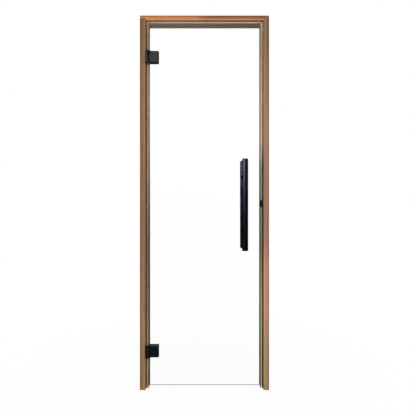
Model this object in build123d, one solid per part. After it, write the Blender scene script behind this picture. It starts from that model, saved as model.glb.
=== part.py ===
from build123d import *
import math
import os

# Frameless glass sauna door hung in a rebated timber frame, in millimetres.
# X runs from the hinge jamb to the latch jamb, Y from the outside into the sauna, Z up.
# The origin lies on the outer side of the hinge jamb, at floor level and at mid-depth.

# Timber frame
frame_width = 690.0
frame_height = 2000.0
frame_depth = 70.0
face_width = 30.0
head_face_height = 24.0
stop_projection = 14.0
rebate_depth = 22.0
head_lap = 15.0
timber_round = 1.5

# Silicone seal on the front face of the stop
seal_setback = 8.0
seal_width = 8.5
seal_stand = 4.0
seal_flank = 1.2
seal_channel_radius = 1.0
seal_touch_gap = 0.5
seal_end_gap = 2.0
groove_width = 3.0
groove_depth = 6.0
stem_width = 1.8
stem_depth = 5.2
barb_reach = 0.45
barb_height = 1.1
barb_pitch = 1.8

# Glass
glass_thickness = 8.0
glass_hinge_gap = 5.5
glass_latch_gap = 6.5
glass_head_gap = 5.5
glass_floor_gap = 22.0
glass_arris = 0.6

# Hinges
lower_hinge_height = 205.0
upper_hinge_drop = 220.0
hinge_height = 67.0
arm_height = 13.0
knuckle_radius = 6.25
knuckle_end_gap = 0.4
pin_radius = 3.0
pin_running_gap = 0.05
pin_stand = 0.8
axis_from_wall = 7.5
axis_from_face = 5.0
leaf_thickness = 3.0
leaf_setback = 3.0
leaf_stop_gap = 2.0
leaf_corner = 4.0
leaf_let_in_gap = 0.2
web_thickness = 3.0
web_foot = 4.0
web_slope = 1.8
leaf_screw_spread = 25.0
leaf_screw_length = 24.0

# Glass clamps of the hinges
clamp_width = 48.0
clamp_stop_gap = 8.0
clamp_thickness = 6.0
clamp_corner = 8.5
clamp_bevel_width = 5.0
clamp_bevel_depth = 3.2
inner_clamp_corner = 1.5
inner_clamp_bevel = 1.2
gasket_thickness = 1.0
gasket_overlap = 7.5
clamp_hole_radius = 6.0
clamp_hole_spread = 16.0
clamp_screw_radius = 3.0
clamp_screw_bite = 4.0
clamp_screw_head_radius = 5.6
collar_gap = 0.3
socket_radius = 1.9
socket_depth = 2.0

# Pull bars
pull_height = 990.0
pull_length = 480.0
pull_radius = 16.0
pull_wall = 2.0
pull_standoff = 54.5
pull_from_edge = 96.5
pull_cap_thickness = 4.0
pull_cap_round = 2.5
pull_cap_spigot = 12.0
pull_cap_gap = 0.1
post_spacing = 300.0
post_radius = 9.0
post_seat_gap = 0.1
pull_collar_radius = 13.0
pull_collar_thickness = 3.0
pull_collar_chamfer = 1.0
pull_gasket_thickness = 1.0
pull_hole_radius = 7.0
stud_radius = 4.0
stud_bite = 18.0
stud_gap = 0.05

# Magnetic catch
catch_height = 995.0
catch_length = 40.0
catch_seal_gap = 0.5
catch_wall_gap = 0.5
catch_width = 12.5
catch_depth = 10.0
catch_stand = 1.6
magnet_length = 25.0
magnet_edge = 1.5
magnet_stand = 3.0
magnet_sunk = 5.0
strike_thickness = 1.0
strike_width = 12.0
strike_length = 30.0
catch_screw_length = 14.0

# Wood screws, without their threads
screw_radius = 1.8
screw_head_radius = 3.6
screw_head_depth = 1.9
screw_hole_gap = 0.1
cross_width = 1.0
cross_reach = 2.2
cross_depth = 1.2
head_screw_length = 55.0
head_screw_radius = 2.4
head_screw_head_radius = 4.6
head_screw_head_depth = 2.4
head_screw_setback = 20.0

# Holes through the jambs for the screws that fix the frame to the wall
fixing_hole_radius = 2.5
fixing_counterbore_radius = 5.0
fixing_counterbore_depth = 4.0
fixing_end_distance = 100.0
fixing_middle_spacing = 600.0
fixing_setback = 11.0

# Planes that several pieces share
front = -frame_depth / 2
back = frame_depth / 2
stop_front = front + rebate_depth
stop_edge = face_width + stop_projection
jamb_height = frame_height - head_lap
head_underside = frame_height - head_face_height
glass_back = stop_front - seal_stand - seal_touch_gap
glass_front = glass_back - glass_thickness
glass_left = face_width + glass_hinge_gap
glass_right = frame_width - face_width - glass_latch_gap
glass_top = head_underside - glass_head_gap
seal_x = face_width + seal_setback
seal_z = head_underside - seal_setback
side_seal_top = seal_z - seal_width / 2
axis_x = face_width + axis_from_wall
axis_y = front - axis_from_face
upper_hinge_height = frame_height - upper_hinge_drop
hinge_heights = {"upper": upper_hinge_height, "lower": lower_hinge_height}
half_hinge = hinge_height / 2
half_knuckle = half_hinge - arm_height - knuckle_end_gap
leaf_front = front + leaf_setback
leaf_back = stop_front - leaf_stop_gap
clamp_left = stop_edge + clamp_stop_gap
clamp_right = clamp_left + clamp_width
clamp_x = (clamp_left + clamp_right) / 2
outer_clamp_back = glass_front - gasket_thickness
outer_clamp_front = outer_clamp_back - clamp_thickness
inner_clamp_front = glass_back + gasket_thickness
inner_clamp_back = inner_clamp_front + clamp_thickness
pull_x = glass_right - pull_from_edge
pull_sides = {"outer": (glass_front, -1), "inner": (glass_back, 1)}
post_heights = {"upper": pull_height + post_spacing / 2, "lower": pull_height - post_spacing / 2}
catch_wall = frame_width - face_width - catch_wall_gap
fixing_y = front + fixing_setback
fixing_heights = [
    fixing_end_distance,
    (frame_height - fixing_middle_spacing) / 2,
    (frame_height + fixing_middle_spacing) / 2,
    frame_height - fixing_end_distance,
]


def block(low, high):
    """A plain block between two opposite corners."""
    size = [far - near for near, far in zip(low, high)]
    middle = [(far + near) / 2 for near, far in zip(low, high)]
    return Pos(*middle) * Box(*size)


def rod(start, direction, radius, length):
    """A round bar that starts at a point and runs along a direction."""
    return extrude(Plane(origin=start, z_dir=direction) * Circle(radius), amount=length, dir=direction)


def cone(start, direction, near_radius, far_radius, length):
    """A cone that starts at a point with its near radius and runs along a direction."""
    solid = Cone(near_radius, far_radius, length, align=(Align.CENTER, Align.CENTER, Align.MIN))
    return Plane(origin=start, z_dir=direction) * solid


def turned(points, start, direction):
    """A solid turned about an axis from a half section given as (radius, distance along the axis)."""
    section = make_face(Polyline(*[(radius, 0, along) for radius, along in points], close=True))
    return Plane(origin=start, z_dir=direction) * revolve(section, Axis.Z)


def mirrored(shape):
    """The same piece on the other side of the doorway."""
    return mirror(shape, about=Plane(origin=(frame_width / 2, 0, 0), z_dir=(1, 0, 0)))


def wood_screw_hole(seat, direction, length, radius, head_radius, head_depth):
    """The room that a countersunk wood screw takes below its seat."""
    gap = screw_hole_gap
    shank = rod(seat, direction, radius + gap, length + gap)
    return shank + cone(seat, direction, head_radius + gap, radius + gap, head_depth + gap)


def wood_screw(seat, direction, length, radius, head_radius, head_depth):
    """A countersunk screw with a pointed end and a cross recess, its head flush with its seat."""
    tip = 2 * radius
    profile = [
        (0, 0),
        (head_radius, 0),
        (radius, head_depth),
        (radius, length - tip),
        (0, length),
    ]
    screw = turned(profile, seat, direction)
    flat = Plane(origin=seat, z_dir=direction)
    reach = min(cross_reach, head_radius * 0.6)
    cross = Rectangle(2 * reach, cross_width) + Rectangle(cross_width, 2 * reach)
    return screw - extrude(flat * cross, amount=cross_depth, dir=direction)


def socket_screw(seat, direction, length, radius, head_radius):
    """A countersunk machine screw with a six-sided socket, its head flush with its seat."""
    head_depth = head_radius - radius
    profile = [(0, 0), (head_radius, 0), (radius, head_depth), (radius, length), (0, length)]
    screw = turned(profile, seat, direction)
    flat = Plane(origin=seat, z_dir=direction)
    socket = RegularPolygon(socket_radius, 6)
    return screw - extrude(flat * socket, amount=socket_depth, dir=direction)


# Timber frame


def jamb_section():
    """Plan of the hinge jamb: the face, the rebate, the stop and the seal's groove."""
    outline = [
        (0, front),
        (face_width, front),
        (face_width, stop_front),
        (stop_edge, stop_front),
        (stop_edge, back),
        (0, back),
    ]
    section = make_face(Polyline(*outline, close=True))
    inner_corner = Vector(face_width, stop_front, 0)
    corners = [v for v in section.vertices() if (Vector(*v) - inner_corner).length > 0.01]
    section = fillet(corners, timber_round)
    groove = Pos(seal_x, stop_front + groove_depth / 2) * Rectangle(groove_width, groove_depth)
    return section - groove


def jamb_blank():
    """A jamb without the cuts for hinges and catch."""
    jamb = extrude(jamb_section(), amount=jamb_height, dir=(0, 0, 1))
    for height in fixing_heights:
        jamb -= rod((0, fixing_y, height), (1, 0, 0), fixing_hole_radius, face_width)
        mouth = (face_width - fixing_counterbore_depth, fixing_y, height)
        jamb -= rod(mouth, (1, 0, 0), fixing_counterbore_radius, fixing_counterbore_depth)
    jamb -= wood_screw_hole(*head_screw_seat())
    return jamb


def head_screw_seat():
    """Where the screw through the head into the hinge jamb sits, and its size."""
    seat = (head_screw_setback, 0, frame_height)
    sizes = (head_screw_radius, head_screw_head_radius, head_screw_head_depth)
    return seat, (0, 0, -1), head_screw_length, *sizes


def head_screws():
    """The two screws that hold the head down on the jambs."""
    screw = wood_screw(*head_screw_seat())
    return [screw, mirrored(screw)]


def leaf_pocket(height):
    """The shallow pocket in the jamb's rebate that takes a hinge's frame leaf."""
    gap = leaf_let_in_gap
    pocket = leaf_plate(height, gap)
    for seat in leaf_screw_seats(height):
        pocket += wood_screw_hole(seat, (-1, 0, 0), leaf_screw_length, *small_screw)
    return pocket


def hinge_jamb():
    """The upright that carries both hinges."""
    jamb = jamb_blank()
    for height in hinge_heights.values():
        jamb -= leaf_pocket(height)
    return jamb


def latch_jamb():
    """The upright that carries the magnetic catch."""
    jamb = mirrored(jamb_blank())
    jamb -= catch_pocket()
    for seat in catch_screw_seats():
        jamb -= wood_screw_hole(seat, (0, 1, 0), catch_screw_length, *small_screw)
    return jamb


def section_along_x(low, high, rounded):
    """A rectangle in the upright Y-Z plane with some of its corners rounded."""
    centre = Vector((low[0] + high[0]) / 2, (low[1] + high[1]) / 2)
    shape = Pos(centre.X, centre.Y) * Rectangle(high[0] - low[0], high[1] - low[1])
    chosen = [v for v in shape.vertices() if any(abs(v.X - y) + abs(v.Y - z) < 0.01 for y, z in rounded)]
    return fillet(chosen, timber_round)


def beam_along_x(section, start, end):
    """A beam with the given Y-Z section between two X positions."""
    upright = Plane(origin=(start, 0, 0), x_dir=(0, 1, 0), z_dir=(1, 0, 0))
    return extrude(upright * section, amount=end - start, dir=(1, 0, 0))


def head_rail():
    """The top timber: a lap over the jambs, and a rebated lower part housed between them."""
    face_low = head_underside
    stop_low = head_underside - stop_projection
    lap = section_along_x((front, jamb_height), (back, frame_height), [(front, frame_height), (back, frame_height)])
    face = section_along_x((front, face_low), (stop_front, jamb_height), [(front, face_low)])
    stop = section_along_x((stop_front, stop_low), (back, jamb_height), [(stop_front, stop_low), (back, stop_low)])
    groove = Pos(stop_front + groove_depth / 2, seal_z) * Rectangle(groove_depth, groove_width)
    rail = beam_along_x(lap, 0, frame_width)
    rail += beam_along_x(face, face_width, frame_width - face_width)
    rail += beam_along_x(stop - groove, stop_edge, frame_width - stop_edge)
    hole = wood_screw_hole(*head_screw_seat())
    return rail - hole - mirrored(hole)


# Seals


def seal_bulb():
    """Section of the seal's soft bulb, hollow, rising in +Y from the face of the stop."""
    half = seal_width / 2
    sides = Polyline((-half, seal_flank), (-half, 0), (half, 0), (half, seal_flank))
    crown = ThreePointArc((half, seal_flank), (0, seal_stand), (-half, seal_flank))
    channel = Pos(0, seal_stand / 2) * Circle(seal_channel_radius)
    return make_face(Curve() + [sides, crown]) - channel


def seal_stem():
    """Section of the barbed stem that holds the seal in its groove."""
    half = stem_width / 2
    outline = [(half, 0)]
    for step in range(2):
        start = -barb_pitch * step - barb_pitch / 2
        outline += [(half, start), (half + barb_reach, start), (half, start - barb_height)]
    outline += [(half / 2, -stem_depth)]
    outline += [(-x, y) for x, y in reversed(outline)]
    return make_face(Polyline(*outline, close=True))


def side_seal(low, high):
    """A length of seal on the hinge side stop between two heights."""
    level = Plane(origin=(seal_x, stop_front, low), x_dir=(-1, 0, 0), z_dir=(0, 0, 1))
    section = level * (seal_bulb() + seal_stem())
    return extrude(section, amount=high - low, dir=(0, 0, 1))


def head_seal():
    """The seal under the head, its bulb reaching over both side seals."""
    left = seal_x - seal_width / 2
    bulb_plane = Plane(origin=(left, stop_front, seal_z), x_dir=(0, 0, 1), z_dir=(1, 0, 0))
    stem_plane = Plane(origin=(stop_edge, stop_front, seal_z), x_dir=(0, 0, 1), z_dir=(1, 0, 0))
    bulb = extrude(bulb_plane * seal_bulb(), amount=frame_width - 2 * left, dir=(1, 0, 0))
    stem = extrude(stem_plane * seal_stem(), amount=frame_width - 2 * stop_edge, dir=(1, 0, 0))
    return bulb + stem


# Hinges: frame leaf with the middle knuckle, pin and screws

small_screw = (screw_radius, screw_head_radius, screw_head_depth)


def leaf_plate(height, gap):
    """The flat part of a frame leaf, let flush into the rebate wall, grown by a gap at its edges."""
    width = leaf_back - leaf_front + 2 * gap
    tall = hinge_height + 2 * gap
    centre = (face_width - leaf_thickness, (leaf_front + leaf_back) / 2, height)
    flat = Plane(origin=centre, x_dir=(0, 1, 0), z_dir=(1, 0, 0))
    return extrude(flat * RectangleRounded(width, tall, leaf_corner), amount=leaf_thickness, dir=(1, 0, 0))


def leaf_screw_seats(height):
    """The three screw places of a frame leaf."""
    middle = (leaf_front + leaf_back) / 2
    return [(face_width, middle, height + leaf_screw_spread * step) for step in (-1, 0, 1)]


def knuckle_web():
    """Plan of the middle knuckle and the web that joins it to the frame leaf."""
    left = axis_x - knuckle_radius
    right = left + web_thickness
    outline = [
        (face_width - leaf_thickness / 2, leaf_front),
        (face_width, leaf_front),
        (left, leaf_front - web_slope),
        (left, axis_y),
        (right, axis_y),
        (right, leaf_front),
        (face_width, leaf_front + web_foot),
        (face_width - leaf_thickness / 2, leaf_front + web_foot),
    ]
    web = make_face(Polyline(*outline, close=True))
    return web + Pos(axis_x, axis_y) * Circle(knuckle_radius)


def hinge_frame_leaf(height):
    """The fixed half of a hinge: leaf, web and middle knuckle."""
    leaf = leaf_plate(height, 0)
    level = Pos(0, 0, height - half_knuckle)
    leaf += extrude(level * knuckle_web(), amount=2 * half_knuckle, dir=(0, 0, 1))
    leaf -= hinge_bore(height)
    for seat in leaf_screw_seats(height):
        leaf -= wood_screw_hole(seat, (-1, 0, 0), leaf_screw_length, *small_screw)
    return leaf


def hinge_bore(height):
    """The hole for the pin, through both fork arms and the middle knuckle."""
    start = (axis_x, axis_y, height - half_hinge)
    return rod(start, (0, 0, 1), pin_radius + pin_running_gap, hinge_height)


def hinge_pin(height):
    """The pin, with its ends chamfered where they stand out of the fork arms."""
    chamfer_size = pin_stand * 0.75
    tall = hinge_height + 2 * pin_stand
    profile = [
        (0, 0),
        (pin_radius - chamfer_size, 0),
        (pin_radius, chamfer_size),
        (pin_radius, tall - chamfer_size),
        (pin_radius - chamfer_size, tall),
        (0, tall),
    ]
    return turned(profile, (axis_x, axis_y, height - half_hinge - pin_stand), (0, 0, 1))


def hinge_leaf_screws(height):
    """The screws that hold a frame leaf in the jamb."""
    seats = leaf_screw_seats(height)
    return [wood_screw(seat, (-1, 0, 0), leaf_screw_length, *small_screw) for seat in seats]


# Hinges: clamps on the glass


def clamp_hole_places(height):
    """The two places where a clamp is screwed together through the glass."""
    return [(clamp_x, height + clamp_hole_spread * step) for step in (-1, 1)]


def clamp_outline(left, corner):
    """Outline of a clamp, seen from the front, as a face in the X-Z plane at Y zero."""
    width = clamp_right - left
    sheet = Pos((left + clamp_right) / 2, 0) * Rectangle(width, hinge_height)
    right_corners = sheet.vertices().group_by(Axis.X)[-1]
    return fillet(right_corners, corner)


def clamp_front_plane(y, height):
    """Upright plane facing the outside, with its Y axis up."""
    return Plane(origin=(0, y, height), x_dir=(1, 0, 0), z_dir=(0, -1, 0))


def fork_arm_plan():
    """Plan of one fork arm: the ring about the pin, drawn out to the clamp's edge."""
    ring = Pos(axis_x, axis_y) * Circle(knuckle_radius)
    middle = (outer_clamp_front + outer_clamp_back) / 2
    root = Pos(clamp_left + clamp_bevel_width / 2, middle) * Rectangle(clamp_bevel_width, clamp_thickness)
    return make_hull(ring.edges() + root.edges())


def clamp_outer_plate(height):
    """The bevelled outer plate, with the fork that takes the pin above and below the knuckle."""
    base = clamp_thickness - clamp_bevel_depth
    slope = math.degrees(math.atan(clamp_bevel_width / clamp_bevel_depth))
    reach = clamp_left - 2 * clamp_bevel_width
    outline = clamp_outline(reach, clamp_corner)
    lower = clamp_front_plane(outer_clamp_back, height) * outline
    upper = clamp_front_plane(outer_clamp_back - base, height) * outline
    plate = extrude(lower, amount=base, dir=(0, -1, 0))
    plate += extrude(upper, amount=clamp_bevel_depth, dir=(0, -1, 0), taper=slope)
    left_over = block(
        (reach - 1, outer_clamp_front - 1, height - hinge_height),
        (clamp_left, outer_clamp_back + 1, height + hinge_height),
    )
    plate -= left_over
    for low in (height - half_hinge, height + half_hinge - arm_height):
        plate += extrude(Pos(0, 0, low) * fork_arm_plan(), amount=arm_height, dir=(0, 0, 1))
    plate -= hinge_bore(height)
    for x, z in clamp_hole_places(height):
        start = (x, outer_clamp_back, z)
        plate -= rod(start, (0, -1, 0), clamp_screw_radius + stud_gap, clamp_screw_bite)
    return plate


def clamp_inner_plate(height):
    """The plain inner plate with two countersunk holes."""
    outline = clamp_front_plane(inner_clamp_back, height) * clamp_outline(clamp_left, inner_clamp_corner)
    plate = extrude(outline, amount=clamp_thickness, dir=(0, -1, 0))
    plate = chamfer(plate.faces().sort_by(Axis.Y)[-1].edges(), inner_clamp_bevel)
    for x, z in clamp_hole_places(height):
        plate -= clamp_screw_room((x, inner_clamp_back, z))
    return plate


def clamp_screw_room(seat):
    """The room that a clamp screw takes from its seat towards the outside."""
    gap = collar_gap
    head_radius = clamp_screw_head_radius + gap
    radius = clamp_screw_radius + gap
    length = inner_clamp_back - outer_clamp_back
    return rod(seat, (0, -1, 0), radius, length) + cone(seat, (0, -1, 0), head_radius, radius, head_radius - radius)


def clamp_gasket(height):
    """Soft sheets on both faces of the glass, joined by collars through the glass."""
    gasket_left = clamp_left - gasket_overlap
    tall = hinge_height / 2 - gasket_thickness
    right = clamp_right - gasket_thickness
    sheet = block((gasket_left, outer_clamp_back, height - tall), (right, glass_front, height + tall))
    sheet += block((clamp_left, glass_back, height - tall), (right, inner_clamp_front, height + tall))
    for x, z in clamp_hole_places(height):
        sheet += rod((x, glass_front, z), (0, 1, 0), clamp_hole_radius - collar_gap, glass_thickness)
        sheet -= clamp_screw_room((x, inner_clamp_back, z))
    return sheet


def clamp_screws(height):
    """The two screws that draw the inner plate to the outer one."""
    length = inner_clamp_back - outer_clamp_back + clamp_screw_bite - stud_gap
    sizes = (length, clamp_screw_radius, clamp_screw_head_radius)
    places = clamp_hole_places(height)
    return [socket_screw((x, inner_clamp_back, z), (0, -1, 0), *sizes) for x, z in places]


# Glass


def glass_pane():
    """The clear sheet, with arrised edges and the holes for both clamps and the pull."""
    pane = block((glass_left, glass_front, glass_floor_gap), (glass_right, glass_back, glass_top))
    pane = chamfer(pane.edges().filter_by(Axis.Y, reverse=True), glass_arris)
    for height in hinge_heights.values():
        for x, z in clamp_hole_places(height):
            pane -= rod((x, glass_front, z), (0, 1, 0), clamp_hole_radius, glass_thickness)
    for z in post_heights.values():
        pane -= rod((pull_x, glass_front, z), (0, 1, 0), pull_hole_radius, glass_thickness)
    return pane


# Pull bars


def pull_axis_y(side):
    """How deep in Y the axis of a pull bar lies."""
    face, outward = pull_sides[side]
    return face + outward * pull_standoff


def pull_bar(side):
    """The upright tube of one pull."""
    length = pull_length - 2 * pull_cap_thickness
    start = (pull_x, pull_axis_y(side), pull_height - length / 2)
    tube = rod(start, (0, 0, 1), pull_radius, length)
    return tube - rod(start, (0, 0, 1), pull_radius - pull_wall, length)


def pull_end_caps(side):
    """The two plugs that close the tube of one pull."""
    spigot = pull_radius - pull_wall - pull_cap_gap
    caps = []
    for end in (-1, 1):
        outer = pull_height + end * pull_length / 2
        plane = Plane(origin=(pull_x, pull_axis_y(side), outer), z_dir=(0, 0, -end))
        disc = extrude(plane * Circle(pull_radius), amount=pull_cap_thickness)
        rim = disc.edges().sort_by(Axis.Z)[-1 if end > 0 else 0]
        disc = fillet(rim, pull_cap_round)
        plug_length = pull_cap_thickness + pull_cap_spigot
        caps.append(disc + extrude(plane * Circle(spigot), amount=plug_length) - cap_hollow(plane, spigot))
    return caps


def cap_hollow(plane, spigot):
    """The hollow inside a plug's spigot."""
    inside = plane.offset(pull_cap_thickness)
    return extrude(inside * Circle(spigot - pull_wall), amount=pull_cap_spigot)


def collar_face(side):
    """The face of a pull's collar that the post stands on."""
    face, outward = pull_sides[side]
    return face + outward * (pull_gasket_thickness + pull_collar_thickness)


def pull_post(side, which):
    """A round post from the collar to the tube, hollowed at its end to fit the tube's side."""
    outward = pull_sides[side][1]
    z = post_heights[which]
    foot = collar_face(side)
    length = abs(pull_axis_y(side) - foot)
    post = rod((pull_x, foot, z), (0, outward, 0), post_radius, length)
    low = (pull_x, pull_axis_y(side), z - 2 * post_radius)
    post -= rod(low, (0, 0, 1), pull_radius + post_seat_gap, 4 * post_radius)
    return post - rod((pull_x, foot, z), (0, outward, 0), stud_radius + stud_gap, stud_bite)


def pull_collars(side):
    """The two round collars on one face of the glass."""
    face, outward = pull_sides[side]
    seat = face + outward * pull_gasket_thickness
    collars = []
    for z in post_heights.values():
        collar = rod((pull_x, seat, z), (0, outward, 0), pull_collar_radius, pull_collar_thickness)
        rim = collar.edges().sort_by(Axis.Y)[-1 if outward > 0 else 0]
        collar = chamfer(rim, pull_collar_chamfer)
        collars.append(collar - rod((pull_x, seat, z), (0, outward, 0), stud_radius + stud_gap, pull_collar_thickness))
    return collars


def pull_gaskets():
    """Soft rings between glass and collars, joined by a sleeve through each hole."""
    gaskets = []
    low = glass_front - pull_gasket_thickness
    total = glass_thickness + 2 * pull_gasket_thickness
    for z in post_heights.values():
        ring_radius = pull_collar_radius - pull_gasket_thickness
        gasket = rod((pull_x, low, z), (0, 1, 0), ring_radius, pull_gasket_thickness)
        gasket += rod((pull_x, glass_back, z), (0, 1, 0), ring_radius, pull_gasket_thickness)
        gasket += rod((pull_x, low, z), (0, 1, 0), pull_hole_radius - collar_gap, total)
        gaskets.append(gasket - rod((pull_x, low, z), (0, 1, 0), stud_radius + collar_gap, total))
    return gaskets


def pull_studs():
    """The studs that join the two pulls through the glass."""
    start = collar_face("outer") - stud_bite + stud_gap
    end = collar_face("inner") + stud_bite - stud_gap
    return [rod((pull_x, start, z), (0, 1, 0), stud_radius, end - start) for z in post_heights.values()]


# Magnetic catch


def catch_pocket():
    """The pocket that the catch housing fills in the latch side stop."""
    low = (catch_wall - catch_width, stop_front, catch_height - catch_length / 2)
    high = (catch_wall, stop_front + catch_depth, catch_height + catch_length / 2)
    return block(low, high)


def magnet_block():
    """The magnet, standing a little proud of its housing."""
    low = (catch_wall - catch_width + magnet_edge, stop_front - magnet_stand, catch_height - magnet_length / 2)
    high = (catch_wall - magnet_edge, stop_front - catch_stand + magnet_sunk, catch_height + magnet_length / 2)
    return block(low, high)


def catch_screw_seats():
    """The two screw places, above and below the magnet."""
    x = catch_wall - catch_width / 2
    away = (magnet_length + catch_length) / 4
    return [(x, stop_front - catch_stand, catch_height + away * step) for step in (-1, 1)]


def catch_housing():
    """The moulded housing, with its outer edges rounded and a seat for the magnet."""
    low = (catch_wall - catch_width, stop_front - catch_stand, catch_height - catch_length / 2)
    high = (catch_wall, stop_front + catch_depth, catch_height + catch_length / 2)
    housing = block(low, high)
    housing = fillet(housing.faces().sort_by(Axis.Y)[0].edges(), catch_stand / 2)
    housing -= magnet_block()
    for seat in catch_screw_seats():
        housing -= wood_screw_hole(seat, (0, 1, 0), catch_screw_length, *small_screw)
    return housing


def catch_screws():
    """The screws of the catch."""
    return [wood_screw(seat, (0, 1, 0), catch_screw_length, *small_screw) for seat in catch_screw_seats()]


def strike_plate():
    """The steel plate bonded to the back of the glass at its latch edge."""
    low = (glass_right - glass_arris - strike_width, glass_back, catch_height - strike_length / 2)
    high = (glass_right - glass_arris, glass_back + strike_thickness, catch_height + strike_length / 2)
    plate = block(low, high)
    return fillet(plate.edges().filter_by(Axis.Y), strike_thickness)


# All the pieces by name


def frame_pieces():
    """Everything that stands still."""
    catch_low = catch_height - catch_length / 2 - catch_seal_gap
    catch_high = catch_height + catch_length / 2 + catch_seal_gap
    pieces = {
        "hinge_jamb": hinge_jamb(),
        "latch_jamb": latch_jamb(),
        "head_rail": head_rail(),
        "head_screws": head_screws(),
        "hinge_side_seal": side_seal(seal_end_gap, side_seal_top),
        "latch_side_seal_lower": mirrored(side_seal(seal_end_gap, catch_low)),
        "latch_side_seal_upper": mirrored(side_seal(catch_high, side_seal_top)),
        "head_seal": head_seal(),
        "catch_housing": catch_housing(),
        "catch_magnet": magnet_block(),
        "catch_screws": catch_screws(),
    }
    for name, height in hinge_heights.items():
        pieces[f"{name}_hinge_frame_leaf"] = hinge_frame_leaf(height)
        pieces[f"{name}_hinge_pin"] = hinge_pin(height)
        pieces[f"{name}_hinge_leaf_screws"] = hinge_leaf_screws(height)
    return pieces


def leaf_pieces():
    """Everything that swings with the glass."""
    pieces = {
        "glass_pane": glass_pane(),
        "strike_plate": strike_plate(),
        "pull_gaskets": pull_gaskets(),
        "pull_studs": pull_studs(),
    }
    for name, height in hinge_heights.items():
        pieces[f"{name}_clamp_outer_plate"] = clamp_outer_plate(height)
        pieces[f"{name}_clamp_inner_plate"] = clamp_inner_plate(height)
        pieces[f"{name}_clamp_gasket"] = clamp_gasket(height)
        pieces[f"{name}_clamp_screws"] = clamp_screws(height)
    for side in pull_sides:
        pieces[f"{side}_pull_bar"] = pull_bar(side)
        pieces[f"{side}_pull_end_caps"] = pull_end_caps(side)
        pieces[f"{side}_pull_collars"] = pull_collars(side)
        for which in post_heights:
            pieces[f"{side}_pull_{which}_post"] = pull_post(side, which)
    return pieces


def write_pieces(pieces):
    """One file for each named piece."""
    for name, shape in pieces.items():
        solids = shape if isinstance(shape, list) else [shape]
        whole = solids[0] if len(solids) == 1 else Compound(children=solids)
        export_step(whole, f"parts/{name}.step")


os.makedirs("parts", exist_ok=True)
write_pieces(frame_pieces())
write_pieces(leaf_pieces())
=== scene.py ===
# %% [markdown]
# # A glass sauna door in its timber frame
#
# The real object is a clear pane of toughened glass that hangs on two black hinges in a frame of
# heat-treated timber. It has a bar pull on each side and a magnetic catch. The solids come from the CAD
# model, in metres, with X along the door, Y into the sauna and Z up. They could be modelled again here, but
# their shapes are right already, so this lesson gives them finishes, adds the few shapes that suit Blender
# better, and lights them.

# %% Load the CAD model
import math

import bmesh
import bpy
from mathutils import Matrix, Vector


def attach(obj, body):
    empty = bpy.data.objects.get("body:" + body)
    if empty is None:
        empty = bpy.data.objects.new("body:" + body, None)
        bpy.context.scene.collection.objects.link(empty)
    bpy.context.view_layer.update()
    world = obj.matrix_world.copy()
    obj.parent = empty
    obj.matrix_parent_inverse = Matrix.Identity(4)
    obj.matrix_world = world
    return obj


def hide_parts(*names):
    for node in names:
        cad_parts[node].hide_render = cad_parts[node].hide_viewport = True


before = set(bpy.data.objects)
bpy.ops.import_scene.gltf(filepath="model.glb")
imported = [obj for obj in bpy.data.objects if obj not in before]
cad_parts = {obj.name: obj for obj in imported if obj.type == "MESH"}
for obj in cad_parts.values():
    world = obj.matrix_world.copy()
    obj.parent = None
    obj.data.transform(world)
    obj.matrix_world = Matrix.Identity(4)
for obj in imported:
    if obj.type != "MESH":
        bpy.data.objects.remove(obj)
scene = bpy.context.scene
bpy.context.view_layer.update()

# %% [markdown]
# ## Plain colours
#
# Blender works in linear light, and the eye judges colours as a screen shows them. Both could be mixed by
# trial. It is simpler to think in screen values from 0 to 255 and to turn them into linear ones in one
# small function.

# %% Turn screen values into linear colours
def rgb(red, green, blue):
    """A linear colour with alpha from screen values 0 to 255."""
    linear = []
    for value in (red, green, blue):
        share = value / 255
        linear.append(share / 12.92 if share <= 0.04045 else ((share + 0.055) / 1.055) ** 2.4)
    return (*linear, 1.0)


print("middle grey is", round(rgb(128, 128, 128)[0], 3))

# %% [markdown]
# ## The camera
#
# The photograph was taken from in front, a little over two paces away, with the camera level, so uprights
# stay upright. Tilting the camera would make them lean. A small lens shift moves the picture up instead, as
# an architect's camera does, and it is kept small because every other view keeps it too.

# %% Set up the camera
camera_place = (0.3637, -1.935, 1.0164)
camera_lens, sensor_width, camera_shift = 30.80, 36.0, -0.020


def add_object(name, data):
    """A new object that shows the data, linked into the scene."""
    made = bpy.data.objects.new(name, data)
    scene.collection.objects.link(made)
    return made


lens = bpy.data.cameras.new("camera")
lens.lens = camera_lens
lens.sensor_width = sensor_width
lens.shift_y = camera_shift
camera = add_object("camera", lens)
camera.location = camera_place
camera.rotation_euler = (math.radians(90), 0, 0)
scene.camera = camera
scene.view_settings.view_transform = "Standard"
print("camera at", camera_place)

# %% [markdown]
# ## Small helpers for nodes
#
# A finish is a tree of nodes. Each could be written out node by node, but the same few steps come back all
# the time: some arithmetic, a stretched copy of the coordinates, a noise, a mix of two colours, a tint that
# changes up the door. A helper for each keeps the finishes short enough to read.

# %% Helpers that add one node and hand back its result
ramp_top = 2.0
no_tint = (1, 1, 1, 1)
mix_inputs, mix_output = (0, 6, 7), 2


def feed(tree, source, socket):
    """Links a socket, or sets a plain value."""
    if isinstance(source, bpy.types.NodeSocket):
        tree.links.new(source, socket)
    elif source is not None:
        socket.default_value = source


def fill(tree, node, **values):
    """Feeds a node's inputs by name, where _ stands for a space."""
    for label, value in values.items():
        feed(tree, value, node.inputs[label.replace("_", " ")])


def new_node(tree, kind, *sources, **settings):
    """A new node with its settings, and with its first inputs fed in their order."""
    node = tree.nodes.new(kind)
    for label, value in settings.items():
        setattr(node, label, value)
    for source, socket in zip(sources, node.inputs):
        feed(tree, source, socket)
    return node


def maths(tree, operation, first, second=None, clamp=False):
    """One step of arithmetic on numbers."""
    return new_node(tree, "ShaderNodeMath", first, second, operation=operation, use_clamp=clamp).outputs[0]


def plus(tree, first, second):
    """The sum of two values."""
    return maths(tree, "ADD", first, second)


def minus(tree, first, second):
    """The first value less the second."""
    return maths(tree, "SUBTRACT", first, second)


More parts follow.
